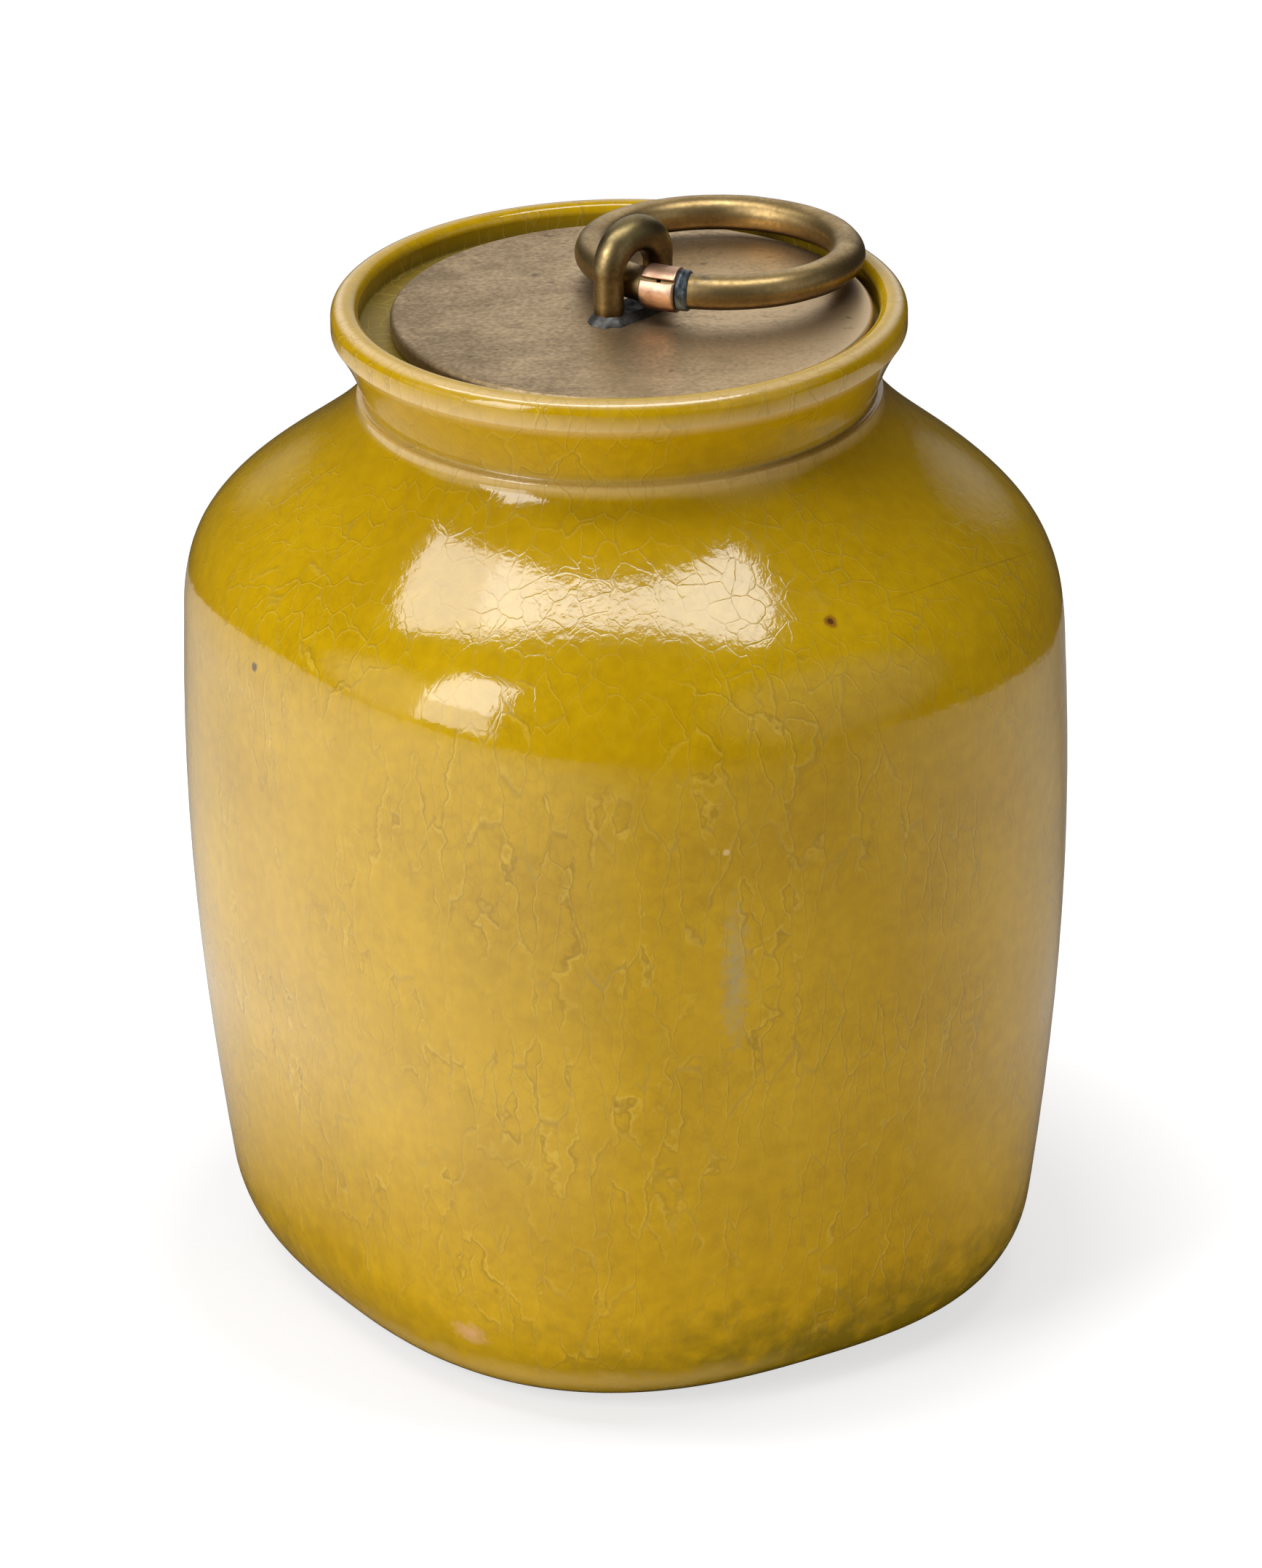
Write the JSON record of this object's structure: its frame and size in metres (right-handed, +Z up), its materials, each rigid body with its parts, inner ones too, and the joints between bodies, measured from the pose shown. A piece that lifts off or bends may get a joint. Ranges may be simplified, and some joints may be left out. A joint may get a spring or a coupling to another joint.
{
  "type": "stoneware lidded jar",
  "caption": "Glazed stoneware jar, softly squared with a round neck and rolled rim, and a flat metal lid in the rim, lifted by a ring that swings in a staple.",
  "frame": {"origin": "centre of the jar's foot, on the surface that it stands on", "axes": "+Z up; the jar's flatter sides face along X and Y, and it is slightly slimmer along X; the pull ring lies towards +X, turned a little towards +Y"},
  "size_m": [0.1308, 0.1388, 0.1744],
  "materials": {
    "mustard_glaze": "glossy mustard-yellow glaze, finely crazed, lighter where it thins at the rim, the neck's bead and the foot",
    "brushed_bronze": "satin bronze with fine brushing one way",
    "bar_bronze": "satin brassy bronze, worn smooth",
    "ferrule_copper": "pinkish copper, satin",
    "grey_solder": "dull blue-grey solder"
  },
  "bodies": {
    "jar": {"jar_body": "mustard_glaze"},
    "lid": {"lid_plate": "brushed_bronze", "pull_staple": "bar_bronze", "staple_solder": "grey_solder"},
    "pull": {"pull_ring": "bar_bronze", "ring_ferrule": "ferrule_copper", "ferrule_solder": "grey_solder"}
  },
  "joints": [
    {"name": "lid_lift", "type": "slide", "parent": "jar", "child": "lid", "axis": [0, 0, 1], "range_m": [0, 0.06]},
    {"name": "pull_swing", "type": "hinge", "parent": "lid", "child": "pull", "pos_m": [0.0008, -0.003, 0.1641], "axis": [0.2554, -0.9668, 0], "range_deg": [0, 184]}
  ]
}
